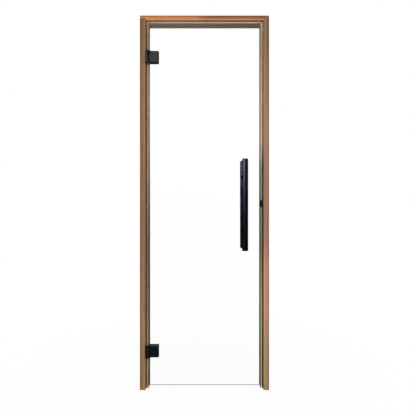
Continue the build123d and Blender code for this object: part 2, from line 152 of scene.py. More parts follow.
def times(tree, first, second):
    """The product of two values."""
    return maths(tree, "MULTIPLY", first, second)


def weighed(tree, *pairs):
    """The sum of values that each have their own weight."""
    total = times(tree, *pairs[0])
    for value, weight in pairs[1:]:
        total = plus(tree, total, times(tree, value, weight))
    return total


def centred(tree, value):
    """A value from 0 to 1, moved so that its middle is 0."""
    return minus(tree, value, 0.5)


def rest(tree, share):
    """What a share leaves of 1."""
    return minus(tree, 1.0, share)


def apart(tree, value, centre):
    """How far a value lies from a centre, on either side."""
    return maths(tree, "ABSOLUTE", minus(tree, value, centre))


def length_of(tree, first, second):
    """The length of a flat vector."""
    squares = [maths(tree, "POWER", side, 2.0) for side in (first, second)]
    return maths(tree, "SQRT", plus(tree, *squares))


def vector_maths(tree, operation, first, second):
    """One step of arithmetic on vectors."""
    return new_node(tree, "ShaderNodeVectorMath", first, second, operation=operation).outputs


def scaled(tree, vector, factors):
    """The coordinates multiplied along each axis."""
    return vector_maths(tree, "MULTIPLY", vector, factors)[0]


def moved(tree, vector, offset):
    """The coordinates moved by an offset."""
    return vector_maths(tree, "ADD", vector, offset)[0]


def noise(tree, vector, scale, detail=2.0):
    """A soft noise from 0 to 1, with so many patches to a metre."""
    node = tree.nodes.new("ShaderNodeTexNoise")
    fill(tree, node, Vector=vector, Scale=scale, Detail=detail)
    return node.outputs[0]


def ramped(tree, value, low, high):
    """0 below low, 1 above high, and a smooth step between."""
    return new_node(tree, "ShaderNodeMapRange", value, low, high, interpolation_type="SMOOTHSTEP").outputs[0]


def fading(tree, value, low, high):
    """1 below low, 0 above high, and a smooth step between."""
    return rest(tree, ramped(tree, value, low, high))


def patches(tree, vector, scale, low, high, detail=2.0):
    """A noise steepened into patches, 0 where it is below low and 1 where it is above high."""
    return ramped(tree, noise(tree, vector, scale, detail), low, high)


def mixed(tree, share, first, second, mode="MIX"):
    """Two colours mixed by a share from 0 to 1."""
    node = new_node(tree, "ShaderNodeMix", data_type="RGBA", blend_type=mode)
    for source, index in zip((share, first, second), mix_inputs):
        feed(tree, source, node.inputs[index])
    return node.outputs[mix_output]


def tinted(tree, tone, tint):
    """A colour multiplied by a tint."""
    return mixed(tree, 1.0, tone, tint, "MULTIPLY")


def tint_where(tree, share, tint):
    """A tint as strong as the share."""
    return mixed(tree, share, no_tint, tint)


def either(tree, share, first, second):
    """One shader where the share is 0, and the other where it is 1."""
    return new_node(tree, "ShaderNodeMixShader", share, first, second).outputs[0]


def parts_of(tree, vector):
    """The X, Y and Z of a vector."""
    return tuple(new_node(tree, "ShaderNodeSeparateXYZ", vector).outputs)


def by_height(tree, z, stops):
    """A tint that changes up the door, from (height, tint) stops given from the foot up."""
    node = new_node(tree, "ShaderNodeValToRGB", maths(tree, "DIVIDE", z, ramp_top))
    elements = node.color_ramp.elements
    elements.remove(elements[1])
    for index, (height, tint) in enumerate(stops):
        element = elements[0] if index == 0 else elements.new(height / ramp_top)
        element.position = height / ramp_top
        element.color = (*tint, 1.0)
    return node.outputs[0]


def bumped(tree, height, strength, distance):
    """A normal that follows a height."""
    node = tree.nodes.new("ShaderNodeBump")
    fill(tree, node, Strength=strength, Distance=distance, Height=height)
    return node.outputs[0]


print("node helpers are ready")

# %% [markdown]
# ## Node groups
#
# Three timbers share one grain, and six metal and plastic finishes share their coat, edges and dust. Copies
# of the same nodes in each material would drift apart. A node group is built once and placed in each
# material with its own values, so a better grain reaches every board.

# %% A helper that starts a node group
def new_group(name, inputs, outputs):
    """An empty node group with named sockets, what it is given, and the node that takes its results."""
    group = bpy.data.node_groups.new(name, "ShaderNodeTree")
    for label, kind, value in inputs:
        socket = group.interface.new_socket(name=label, in_out="INPUT", socket_type=kind)
        if value is not None:
            socket.default_value = value
    for label, kind in outputs:
        group.interface.new_socket(name=label, in_out="OUTPUT", socket_type=kind)
    start = group.nodes.new("NodeGroupInput")
    return group, start.outputs, group.nodes.new("NodeGroupOutput")


def placed(tree, group, **values):
    """A group placed in a material, with its inputs fed by name."""
    node = new_node(tree, "ShaderNodeGroup", node_tree=group)
    fill(tree, node, **values)
    return node.outputs


number, colour, vector = "NodeSocketFloat", "NodeSocketColor", "NodeSocketVector"
print("groups can be made")

# %% [markdown]
# ## Straight grain
#
# Heat-treated boards are sawn so that the grain runs straight along them. A picture of wood wrapped round
# the board would stretch at the corners. Here the grain is a solid: rings around a pith that lies outside
# the board, drawn out along Z, so the sides show long lines and the sawn ends show arcs. Finer fibres,
# short dark pores and slow changes of tone lie on top.

# %% The grain group
ring_stretch, fibre_stretch, pore_stretch = 0.035, 0.012, 0.06
pith = (0.118, 0.064, 0.0)
pore_depth, pore_tint = 0.45, (0.42, 0.36, 0.30, 1)
plain_roughness, fibre_roughness, pore_roughness = 0.44, 0.22, 0.2

grain, given, result = new_group(
    "straight grain",
    [
        ("Vector", vector, None),
        ("Pale", colour, (0.30, 0.17, 0.10, 1)),
        ("Dark", colour, (0.15, 0.07, 0.04, 1)),
        ("Rings", number, 70.0),
        ("Contrast", number, 1.0),
        ("Seed", number, 0.0),
    ],
    [("Color", colour), ("Roughness", number), ("Height", number)],
)
seed_shift = grain.nodes.new("ShaderNodeCombineXYZ")
fill(grain, seed_shift, Z=given["Seed"])
board = moved(grain, given["Vector"], seed_shift.outputs[0])


def drawn_out(stretch):
    """The board's coordinates, stretched along the grain."""
    return scaled(grain, board, (1.0, 1.0, stretch))


rings = new_node(grain, "ShaderNodeTexWave", wave_type="RINGS", rings_direction="Z", wave_profile="SAW")
fill(grain, rings, Distortion=5.0, Detail=2.0, Detail_Scale=0.35, Scale=given["Rings"])
fill(grain, rings, Vector=moved(grain, drawn_out(ring_stretch), pith))
late_wood = ramped(grain, rings.outputs["Fac"], 0.45, 1.0)
broad = patches(grain, drawn_out(fibre_stretch), scale=150.0, low=0.32, high=0.68, detail=3.0)
fibre = patches(grain, drawn_out(fibre_stretch), scale=1150.0, low=0.25, high=0.75, detail=3.0)
pores = patches(grain, drawn_out(pore_stretch), scale=2600.0, low=0.66, high=0.78, detail=1.0)
slow = centred(grain, noise(grain, scaled(grain, board, (6.0, 6.0, 1.0)), scale=2.2))

streaks = weighed(grain, (late_wood, 0.34), (broad, 0.36), (fibre, 0.36), (slow, 0.5))
contrasted = times(grain, centred(grain, streaks), given["Contrast"])
streaks = maths(grain, "ADD", contrasted, 0.5, clamp=True)
wood_colour = mixed(grain, streaks, given["Pale"], given["Dark"])
pore_colour = tinted(grain, wood_colour, pore_tint)
rough = plus(grain, times(grain, fibre, fibre_roughness), plain_roughness)
fill(
    grain,
    result,
    Color=mixed(grain, times(grain, pores, pore_depth), wood_colour, pore_colour),
    Roughness=plus(grain, rough, times(grain, pores, pore_roughness)),
    Height=weighed(grain, (fibre, 0.5), (pores, -0.6), (late_wood, -0.15)),
)
print("grain group:", len(grain.nodes), "nodes")

# %% [markdown]
# ## Powder coat, worn edges and dust
#
# A satin powder coat isn't flat: it flows into a fine orange peel. Where hands and tools touch edges, the
# coat is rubbed smoother and a little paler. Dust settles on what faces up. The edges could be painted by
# hand. The Bevel node finds them instead, because its rounded normal departs from the true one only near an
# edge.

# %% The coat, edge and dust groups
cloud_roughness = 0.16
bevel_samples, edge_starts, edge_full = 4, 0.005, 0.08
least_wear, patchy_wear = 0.4, 0.6
least_drift, patchy_drift = 0.3, 0.6
dust_slope, dust_level = 0.35, 0.95

peel, given, result = new_group(
    "orange peel",
    [("Vector", vector, None), ("Grain size", number, 1400.0), ("Roughness", number, 0.4)],
    [("Tone", number), ("Roughness", number), ("Height", number)],
)
cloud = noise(peel, given["Vector"], scale=60.0, detail=3.0)
uneven = times(peel, centred(peel, cloud), cloud_roughness)
fine = noise(peel, given["Vector"], given["Grain size"])
fill(peel, result, Tone=cloud, Roughness=plus(peel, given["Roughness"], uneven), Height=fine)

rubbed, given, result = new_group(
    "rubbed edges",
    [("Vector", vector, None), ("Reach", number, 0.0006), ("Amount", number, 0.6)],
    [("Mask", number)],
)
soft_normal = new_node(rubbed, "ShaderNodeBevel", given["Reach"], samples=bevel_samples)
true_normal = rubbed.nodes.new("ShaderNodeNewGeometry").outputs["True Normal"]
agree = vector_maths(rubbed, "DOT_PRODUCT", soft_normal.outputs[0], true_normal)["Value"]
edge = ramped(rubbed, rest(rubbed, agree), edge_starts, edge_full)
patchy = patches(rubbed, given["Vector"], scale=220.0, low=0.35, high=0.65)
worn = times(rubbed, edge, plus(rubbed, times(rubbed, patchy, patchy_wear), least_wear))
fill(rubbed, result, Mask=times(rubbed, worn, given["Amount"]))

dust, given, result = new_group(
    "settled dust",
    [("Vector", vector, None), ("Normal", vector, None), ("Amount", number, 0.3)],
    [("Mask", number)],
)
facing_up = ramped(dust, parts_of(dust, given["Normal"])[2], dust_slope, dust_level)
specks = patches(dust, given["Vector"], scale=900.0, low=0.38, high=0.7)
drift = plus(dust, times(dust, specks, patchy_drift), least_drift)
fill(dust, result, Mask=times(dust, times(dust, facing_up, drift), given["Amount"]))
print("coat, edge and dust groups:", len(peel.nodes), len(rubbed.nodes), len(dust.nodes), "nodes")

# %% [markdown]
# ## Starting a finish
#
# Every finish starts the same way: one Principled shader and the object's own coordinates in metres. Object
# coordinates stay with the piece when the door swings, and every size in a finish is then a real one.

# %% A helper that starts a finish
finishes = {}


def new_finish(name):
    """A new finish: its tree, its Principled shader, and the object's coordinates and normal."""
    material = bpy.data.materials.new(name)
    material.use_nodes = True
    finishes[name] = material
    tree = material.node_tree
    places = tree.nodes.new("ShaderNodeTexCoord").outputs
    return tree, tree.nodes["Principled BSDF"], places["Object"], places["Normal"]


# %% [markdown]
# ## Timber
#
# The three boards come from different planks, so each has its own tone. The sawn ends drink oil and are
# darker. The rebate behind the face carries painted shade, which is the dark line beside the glass, and
# painted light in places. Painted shade also darkens the timber right beside a hinge and the outer arris.
# An upright's tone changes from foot to top, and the inner side of its stop has painted light higher up and
# painted shade towards the floor. A painted map could hold that, but it would have to be unwrapped and
# stored. A few heights with a tint each do the same. All three boards are one function: the head differs in
# that its grain runs along X, so X and Z change places.

# %% The timber function
middle_of_door = 0.345
rebate_wall, rebate_floor, head_underside = 0.3152, -0.0128, 1.9763
# The rebate holds painted shade, the dark line beside the glass, and painted light where a tint is above 1.
rebate_shading_depths = (-0.034, -0.016)
outer_arris, arris_gap, stop_side = 0.3390, 0.0006, 0.3013
dark_band, band_reach, band_tint = 0.3365, (0.0015, 0.0032), (0.80, 0.74, 0.64, 1)
# Painted shade on the timber beside the upper hinge and, darker, beside the lower one.
hinge_shade_tints = [(1.780, (0.45, 0.42, 0.42, 1)), (0.205, (0.12, 0.11, 0.11, 1))]
hinge_shade_reach, hinge_shade_edge, hinge_shade_end = (0.034, 0.039), (0.0258, 0.0282), 0.0315
end_slopes, end_share, end_tint, end_roughness = (0.6, 0.9), 0.75, (0.42, 0.34, 0.28, 1), 0.2
timber_shine = 0.06


def in_rebate(tree, x, y, z, lies_flat):
    """1 on the wall of the rebate, which is open to the front, and 0 on the board's face."""
    if lies_flat:
        inside = maths(tree, "LESS_THAN", z, head_underside)
    else:
        inside = maths(tree, "LESS_THAN", apart(tree, x, middle_of_door), rebate_wall)
    return times(tree, inside, maths(tree, "LESS_THAN", y, rebate_floor))


def painted_hinge_shade(tree, x, z):
    """Painted shade: a dark tint on the timber right beside a hinge."""
    at_edge = times(tree, ramped(tree, x, *hinge_shade_edge), maths(tree, "LESS_THAN", x, hinge_shade_end))
    tint = no_tint
    for height, shade_tint in hinge_shade_tints:
        near = fading(tree, apart(tree, z, height), *hinge_shade_reach)
        tint = mixed(tree, times(tree, at_edge, near), tint, shade_tint)
    return tint


def upright_tint(tree, x, z, lengthwise, inside, arris_shade):
    """What tints an upright: its length's tone, painted shade on the arris, a dark band, and painted light
    and shade on the stop's inner side.
    """
    outward = apart(tree, x, middle_of_door)
    arris = ramped(tree, outward, outer_arris, middle_of_door - arris_gap)
    in_band = fading(tree, apart(tree, outward, dark_band), *band_reach)
    inner_side = maths(tree, "LESS_THAN", outward, stop_side)
    tint = by_height(tree, z, lengthwise)
    for share, own in ((arris, arris_shade), (in_band, band_tint), (inner_side, by_height(tree, z, inside))):
        tint = tinted(tree, tint, tint_where(tree, share, own))
    return tint


def timber(name, pale, dark, rings, contrast, seed, rebate_shading, lengthwise=None, inside=None, arris_shade=None):
    """A straight-grained, oiled board. One without a tone along its length lies flat, as the head does."""
    tree, shader, place, normal = new_finish(name)
    x, y, z = parts_of(tree, place)
    lies_flat = lengthwise is None
    along = place
    if lies_flat:
        along = new_node(tree, "ShaderNodeCombineXYZ", z, y, x).outputs[0]
    wood = placed(tree, grain, Vector=along, Pale=pale, Dark=dark, Rings=rings, Contrast=contrast, Seed=seed)
    end_facing = maths(tree, "ABSOLUTE", parts_of(tree, normal)[0 if lies_flat else 2])
    end_grain = ramped(tree, end_facing, *end_slopes)
    tint = tint_where(tree, times(tree, end_grain, end_share), end_tint)
    if not lies_flat:
        tint = tinted(tree, tint, upright_tint(tree, x, z, lengthwise, inside, arris_shade))
    # Painted light and shade in the rebate, by height, near the face and deep inside.
    outer, deep = (by_height(tree, z, stops) for stops in rebate_shading)
    rebate_shaded = mixed(tree, ramped(tree, y, *rebate_shading_depths), outer, deep)
    shade = mixed(tree, in_rebate(tree, x, y, z, lies_flat), tint, rebate_shaded)
    if not lies_flat:
        shade = tinted(tree, shade, painted_hinge_shade(tree, x, z))
    tone = tinted(tree, wood["Color"], shade)
    fill(tree, shader, Base_Color=tone, Specular_IOR_Level=timber_shine)
    fill(tree, shader, Roughness=plus(tree, wood["Roughness"], times(tree, end_grain, end_roughness)))
    fill(tree, shader, Normal=bumped(tree, wood["Height"], strength=0.35, distance=0.0004))
    return tree, shader, place, tone


# %% The two uprights
timber(
    "hinge_jamb_wood", pale=rgb(160, 122, 96), dark=rgb(108, 80, 56),
    rings=125.0, contrast=1.4, seed=3.0,
    # painted shade on the rounded outer arris
    arris_shade=(0.48, 0.36, 0.25, 1),
    # rebate tints by height: painted shade, and painted light where above 1
    rebate_shading=(
        [
            (0.12, (0.15, 0.11, 0.06)), (0.60, (0.34, 0.26, 0.18)), (1.25, (0.60, 0.50, 0.40)),
            (1.58, (0.95, 0.85, 0.75)),
        ],
        [(0.20, (1.00, 0.85, 0.68)), (1.35, (0.95, 0.80, 0.62)), (1.60, (1.25, 1.05, 0.85))],
    ),
    lengthwise=[
        (0.10, (1.10, 1.20, 0.88)), (0.30, (1.12, 1.18, 1.05)), (0.60, (1.04, 1.04, 1.02)),
        (1.75, (0.95, 0.97, 0.88)), (1.93, (0.76, 0.78, 0.62)),
    ],
    # the stop's inner side: painted light higher up, painted shade towards the floor
    inside=[
        (0.15, (0.25, 0.12, 0.03)), (0.50, (0.38, 0.26, 0.13)), (0.98, (0.90, 0.75, 0.58)),
        (1.36, (2.80, 2.20, 1.75)), (1.74, (1.80, 1.45, 1.10)),
    ],
)
timber(
    "latch_jamb_wood", pale=rgb(172, 134, 110), dark=rgb(124, 94, 72),
    rings=115.0, contrast=1.4, seed=11.0,
    # painted shade on the rounded outer arris
    arris_shade=(0.34, 0.24, 0.16, 1),
    # rebate tints by height: painted shade, and painted light where above 1
    rebate_shading=(
        [
            (0.70, (0.45, 0.38, 0.30)), (0.92, (0.12, 0.10, 0.07)), (1.22, (0.12, 0.10, 0.07)),
            (1.32, (0.52, 0.47, 0.38)),
        ],
        [
            (0.45, (0.28, 0.22, 0.16)), (0.62, (0.42, 0.36, 0.25)), (0.95, (0.10, 0.09, 0.08)),
            (1.22, (0.11, 0.10, 0.09)), (1.34, (1.20, 1.35, 1.50)), (1.58, (1.70, 1.90, 1.90)),
        ],
    ),
    lengthwise=[
        (0.12, (1.10, 1.22, 1.05)), (0.45, (1.44, 1.50, 1.44)), (0.66, (1.44, 1.48, 1.44)),
        (0.86, (1.06, 1.06, 1.06)), (1.34, (1.06, 1.06, 1.06)), (1.93, (0.66, 0.70, 0.56)),
    ],
    # the stop's inner side: painted light higher up, painted shade towards the floor
    inside=[
        (0.15, (0.22, 0.12, 0.03)), (0.62, (0.62, 0.47, 0.32)), (1.22, (0.95, 0.78, 0.62)),
        (1.33, (1.75, 1.45, 1.15)), (1.60, (1.75, 1.45, 1.15)), (1.80, (1.45, 1.20, 0.92)),
    ],
)
print("jambs are finished")

# %% [markdown]
# The head is the warmest board. Its left part is a clear orange brown that turns darker a third of the way
# along, and a bright stripe runs along its lower edge. Painted shade darkens its top edge and the stop below
# its face. A second board could be joined in, but on the real head it is one plank with a change of colour
# in it, so the tone follows the board's own length.

# %% The head
# Painted light and shade on the head's rebate.
head_rebate_shading = ([(1.0, (0.98, 1.28, 1.46))], [(1.0, (0.60, 0.88, 0.70))])
tone_change, tone_wander, line_wander = (0.27, 0.40), 0.12, 0.003
stripe_edge, stripe_keeps, stripe_tint = (1.9805, 1.9840), 0.8, (1.14, 1.06, 0.96, 1)
top_edge, top_share, top_shade_tint = (1.9895, 1.993), 0.9, (0.76, 0.48, 0.16, 1)
right_tint = (0.52, 0.58, 0.66, 1)
under_drop, under_shade_tint = 0.004, (0.45, 0.58, 0.58, 1)


def head_timber():
    """The head's board, with its change of tone along X, its bright lower stripe, and painted shade on its
    top edge and under its face.
    """
    tree, shader, place, tone = timber(
        "head_wood", pale=rgb(206, 148, 110), dark=rgb(158, 104, 66),
        rings=125.0, contrast=1.3, seed=5.0, rebate_shading=head_rebate_shading,
    )
    x, y, z = parts_of(tree, place)
    wander = centred(tree, noise(tree, scaled(tree, place, (1.0, 0.1, 0.1)), scale=9.0))
    right_part = ramped(tree, plus(tree, x, times(tree, wander, tone_wander)), *tone_change)
    z = plus(tree, z, times(tree, wander, line_wander))
    lower_stripe = fading(tree, z, *stripe_edge)
    darker = times(tree, right_part, rest(tree, times(tree, lower_stripe, stripe_keeps)))
    # Painted shade: the rounded top edge and the stop below the face are darkened.
    top_edge_shade = times(tree, ramped(tree, z, *top_edge), top_share)
    under_stop_shade = maths(tree, "LESS_THAN", z, head_underside - under_drop)
    shade = tint_where(tree, darker, right_tint)
    for share, own in ((top_edge_shade, top_shade_tint), (under_stop_shade, under_shade_tint), (lower_stripe, stripe_tint)):
        shade = tinted(tree, shade, tint_where(tree, share, own))
    fill(tree, shader, Base_Color=tinted(tree, tone, shade))


head_timber()
print("boards:", sorted(finishes))

# %% [markdown]
# ## Black coats
#
# The hinges have a satin black powder coat. It hides the metal, so it is a plain dark surface with a soft
# shine. The pulls mirror more sharply and with a blue tinge, as blackened metal does. A black paint with a
# tinted shine could imitate that from in front, but a dark bluish metal keeps the tinge from every side.

# %% Coated finishes
light_factor, light_lift = 1.3, 0.0006
rubbed_black, coat_dust = rgb(84, 86, 92), rgb(150, 142, 130)
rubbed_smoother, dust_rougher = 0.12, 0.5


def coated(name, dark, roughness, shine, grain_size, reach, amount, shine_tint=no_tint, metallic=0.0):
    """A satin black coat with orange peel, rubbed edges and a little dust."""
    tree, shader, place, normal = new_finish(name)
    coat = placed(tree, peel, Vector=place, Grain_size=grain_size, Roughness=roughness)
    edges = placed(tree, rubbed, Vector=place, Reach=reach, Amount=amount)["Mask"]
    dusty = placed(tree, dust, Vector=place, Normal=normal, Amount=0.10)["Mask"]
    lighter = tuple(part * light_factor + light_lift for part in dark[:3]) + (1,)
    tone = mixed(tree, coat["Tone"], dark, lighter)
    tone = mixed(tree, edges, tone, rubbed_black)
    tone = mixed(tree, dusty, tone, coat_dust)
    smoother = minus(tree, coat["Roughness"], times(tree, edges, rubbed_smoother))
    rough = plus(tree, smoother, times(tree, dusty, dust_rougher))
    fill(tree, shader, Base_Color=tone, Roughness=rough, Metallic=metallic)
    fill(tree, shader, Specular_IOR_Level=shine, Specular_Tint=shine_tint)
    fill(tree, shader, Normal=bumped(tree, coat["Height"], strength=0.12, distance=0.0002))


# The hinge's wide rubbed edges are wear and also a faint painted highlight along the plate's bevel.
coated(
    "hinge_black", rgb(10, 12, 17), roughness=0.36, shine=1.0,
    grain_size=1500.0, reach=0.0018, amount=0.08, shine_tint=(0.84, 0.90, 1.0, 1),
)
coated(
    "pull_black", rgb(88, 88, 116), roughness=0.17, shine=0.5,
    grain_size=1300.0, reach=0.0007, amount=0.15, metallic=1.0,
)
coated(
    "catch_plastic", rgb(20, 21, 25), roughness=0.46, shine=0.35,
    grain_size=2400.0, reach=0.0007, amount=0.20,
)
print("coated:", [name for name in finishes if name.endswith(("black", "plastic"))])

# %% [markdown]
# ## Bare and plated steel
#
# Screws, the magnet and its strike plate are steel. Steel that was ground or drawn has fine lines in one
# direction, and these lines decide how it shines, so the roughness and the bump both follow one stretched
# noise.

# %% Steel finishes
stain_darkness, stain_share, stain_roughness, line_roughness = 0.62, 0.7, 0.08, 0.3
rubbed_steel, steel_dust = rgb(150, 152, 156), rgb(140, 132, 120)


def plated(name, tone, roughness, stretch, amount):
    """Plated steel with fine drawn lines."""
    tree, shader, place, normal = new_finish(name)
    lines = noise(tree, scaled(tree, place, stretch), scale=1800.0)
    stains = patches(tree, place, scale=160.0, low=0.35, high=0.75, detail=3.0)
    edges = placed(tree, rubbed, Vector=place, Reach=0.0004, Amount=amount)["Mask"]
    dusty = placed(tree, dust, Vector=place, Normal=normal, Amount=0.12)["Mask"]
    darker = tuple(part * stain_darkness for part in tone[:3]) + (1,)
    tone = mixed(tree, times(tree, stains, stain_share), tone, darker)
    tone = mixed(tree, edges, tone, rubbed_steel)
    tone = mixed(tree, dusty, tone, steel_dust)
    uneven = weighed(tree, (centred(tree, lines), line_roughness), (stains, stain_roughness))
    fill(tree, shader, Base_Color=tone, Roughness=plus(tree, uneven, roughness), Metallic=0.9)
    fill(tree, shader, Normal=bumped(tree, lines, strength=0.15, distance=0.0001))


plated("black_fixings", rgb(62, 62, 66), roughness=0.38, stretch=(1.0, 0.15, 1.0), amount=0.6)
plated("magnet_steel", rgb(84, 88, 104), roughness=0.32, stretch=(1.0, 1.0, 0.05), amount=0.5)
plated("strike_steel", rgb(92, 92, 96), roughness=0.34, stretch=(1.0, 1.0, 0.05), amount=0.5)
print("steel finishes are ready")

# %% [markdown]
# ## Silicone and rubber
#
# The seal is a milky silicone strip that lets some light into its body. It could be glassy, but milky
# silicone scatters light instead of passing it, so a little subsurface does the work. Its tone changes from
# foot to top with painted light and shade, and a painted highlight lies on the right-hand seal. Along the
# head its crown has painted light and its lower flank painted shade. Specks of dirt lie on it. The gaskets
# are black sheet rubber, dull and slightly uneven.

# %% Seal and gasket finishes
def even(*pairs):
    """Stops by height whose tint is the same in all three colours."""
    return [(height, (tone, tone, tone)) for height, tone in pairs]


# Painted light and shade on the seal by height. On the right, the brightest bluish stops are a painted
# highlight.
seal_left_shading = even(
    (0.12, 1.28), (0.48, 0.92), (0.76, 0.70), (1.20, 1.14), (1.36, 0.98), (1.62, 0.93), (1.88, 0.66)
)
seal_right_shading = even((0.12, 1.95), (0.50, 1.95), (0.74, 1.18), (1.12, 1.85), (1.21, 1.65))
seal_right_shading += [(1.26, (1.95, 2.10, 2.40)), (1.45, (1.95, 2.10, 2.35))]
seal_right_shading += even((1.58, 1.95), (1.67, 1.85), (1.78, 1.28), (1.88, 1.10))
head_flank, head_crown = (1.9625, 1.9640), (1.9672, 1.9690)
dirt_share = 0.12
cloudy_roughness, silicone_roughness = 0.12, 0.34
rubber_uneven, rubber_roughness = 0.25, 0.55


def milky_silicone():
    """The pale silicone of the seals."""
    tree, shader, place, normal = new_finish("silicone")
    x, y, z = parts_of(tree, place)
    cloudy = patches(tree, scaled(tree, place, (6.0, 1.0, 1.0)), scale=3.2, low=0.35, high=0.65)
    dirt = patches(tree, place, scale=240.0, low=0.45, high=0.72)
    tone = mixed(tree, cloudy, rgb(198, 179, 153), rgb(182, 163, 138))
    on_the_right = maths(tree, "GREATER_THAN", x, middle_of_door)
    seal_shading = mixed(tree, on_the_right, by_height(tree, z, seal_left_shading), by_height(tree, z, seal_right_shading))
    tone = tinted(tree, tone, seal_shading)
    # Along the head: painted shade on the seal's lower flank, painted light on its crown.
    tone = mixed(tree, ramped(tree, z, *head_flank), tone, rgb(176, 148, 120))
    tone = mixed(tree, ramped(tree, z, *head_crown), tone, rgb(255, 232, 204))
    tone = mixed(tree, times(tree, dirt, dirt_share), tone, rgb(140, 124, 106))
    dusty = placed(tree, dust, Vector=place, Normal=normal, Amount=0.4)["Mask"]
    tone = mixed(tree, dusty, tone, rgb(150, 138, 122))
    rough = plus(tree, times(tree, cloudy, cloudy_roughness), silicone_roughness)
    fill(tree, shader, Base_Color=tone, Roughness=rough, IOR=1.42)
    fill(tree, shader, Subsurface_Weight=0.3, Subsurface_Radius=(1.0, 0.8, 0.6), Subsurface_Scale=0.002)
    fill(tree, shader, Normal=bumped(tree, noise(tree, place, scale=500.0), strength=0.1, distance=0.0003))


def sheet_rubber():
    """The black rubber between metal and glass."""
    tree, shader, place, normal = new_finish("gasket_rubber")
    cloud = noise(tree, place, scale=180.0, detail=3.0)
    tone = mixed(tree, cloud, rgb(18, 18, 19), rgb(38, 37, 37))
    dusty = placed(tree, dust, Vector=place, Normal=normal, Amount=0.3)["Mask"]
    tone = mixed(tree, dusty, tone, rgb(120, 114, 106))
    rough = plus(tree, times(tree, cloud, rubber_uneven), rubber_roughness)
    fill(tree, shader, Base_Color=tone, Roughness=rough)
    fill(tree, shader, Normal=bumped(tree, noise(tree, place, scale=1800.0), strength=0.2, distance=0.0002))


milky_silicone()
sheet_rubber()
print("soft finishes are ready")

# %% [markdown]
# ## Glass
#
# The pane is clear, and its ground edges are grey-green because light leaves them after a long way through
# the glass. At the head they get a pale cream tone, which is painted light. A thin film of finger marks lies
# near the pulls.
# Glass in Blender stops lamps, so what stands behind it would be lit by chance only. A Transparent shader
# for shadow rays lets the lamps through, as real glass does. The ground edge gets one too, or it would lay
# a dark line on the seal beside it.

# %% The glass finish
pull_across, pull_middle = 0.557, 0.990
marks_across, marks_up, marks_fade = 9.0, 3.2, (0.5, 1.3)
smear_roughness = 0.012
glass_ior = 1.5
pane_top, frost_uneven, frost_roughness = (1.90, 1.95), 0.2, 0.4


def pass_lamps(tree, shader, passed):
    """Lets the light of lamps through, and leaves every other ray to the shader."""
    lamp_ray = tree.nodes.new("ShaderNodeLightPath").outputs["Is Shadow Ray"]
    let_through = new_node(tree, "ShaderNodeBsdfTransparent", passed)
    surface = either(tree, lamp_ray, shader.outputs[0], let_through.outputs[0])
    fill(tree, tree.nodes["Material Output"], Surface=surface)


def clear_glass():
    """Clear toughened glass with faint finger marks near the pull."""
    tree, shader, place, normal = new_finish("glass")
    x, y, z = parts_of(tree, place)
    across = times(tree, minus(tree, x, pull_across), marks_across)
    up = times(tree, minus(tree, z, pull_middle), marks_up)
    near_pull = fading(tree, length_of(tree, across, up), *marks_fade)
    marks = patches(tree, place, scale=55.0, low=0.52, high=0.70, detail=4.0)
    smear = times(tree, times(tree, near_pull, marks), smear_roughness)
    fill(tree, shader, Base_Color=(0.992, 0.997, 0.994, 1), Roughness=smear)
    fill(tree, shader, Transmission_Weight=1.0, IOR=glass_ior)
    pass_lamps(tree, shader, passed=(0.93, 0.95, 0.94, 1))


def ground_edge():
    """The ground and fully seamed edge of the pane."""
    tree, shader, place, normal = new_finish("ground_edge")
    frost = noise(tree, scaled(tree, place, (1.0, 4.0, 1.0)), scale=260.0)
    greenish = mixed(tree, frost, rgb(104, 114, 109), rgb(138, 148, 143))
    # Painted light: the top edge turns pale cream along the head.
    top_edge_light = ramped(tree, parts_of(tree, place)[2], *pane_top)
    tone = mixed(tree, top_edge_light, greenish, rgb(248, 222, 192))
    rough = plus(tree, times(tree, frost, frost_uneven), frost_roughness)
    fill(tree, shader, Base_Color=tone, Roughness=rough, Transmission_Weight=0.35, IOR=glass_ior)
    pass_lamps(tree, shader, passed=(0.90, 0.92, 0.91, 1))


clear_glass()
ground_edge()
print("finishes:", len(finishes))

# %% [markdown]
# ## Dress the CAD pieces
#
# Each CAD node carries the name of its material slot. Putting a finish into the object's own slot changes
# its look and leaves its shape alone, which is what the frame asks for.

# %% Put a finish on every CAD node
slot_of_node = {
    "hinge_jamb": "hinge_jamb_wood",
    "latch_jamb": "latch_jamb_wood",
    "head_rail": "head_wood",
    "head_screws": "black_fixings",
    "glass_pane": "glass",
    "catch_housing": "catch_plastic",
    "catch_magnet": "magnet_steel",
    "catch_screws": "black_fixings",
    "strike_plate": "strike_steel",
    "pull_gaskets": "gasket_rubber",
    "pull_studs": "black_fixings",
}
word_slots = [
    ("seal", "silicone"),
    ("gasket", "gasket_rubber"),
    ("screws", "black_fixings"),
    ("pin", "black_fixings"),
    ("pull", "pull_black"),
    ("clamp", "hinge_black"),
    ("leaf", "hinge_black"),
]


def slot_name(node):
    """The finish of a node: by its own name, or by the first word that fits."""
    if node in slot_of_node:
        return slot_of_node[node]
    return next(slot for word, slot in word_slots if word in node)


def dress(piece, finish):
    """Puts one finish on a whole object, in the object's own slots."""
    if not piece.material_slots:
        piece.data.materials.append(None)
    for held in piece.material_slots:
        held.link = "OBJECT"
        held.material = finishes[finish]


for name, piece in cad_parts.items():
    dress(piece, slot_name(name))
print("dressed", len(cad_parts), "CAD nodes")

# %% [markdown]
# ## The pane, with its edges ground
#
# The faces of the pane are clear and its narrow edges are ground, so one sheet needs two finishes. The CAD
# node has one slot. A copy of its mesh takes a second slot, and every face that doesn't look along Y gets
# the ground finish.

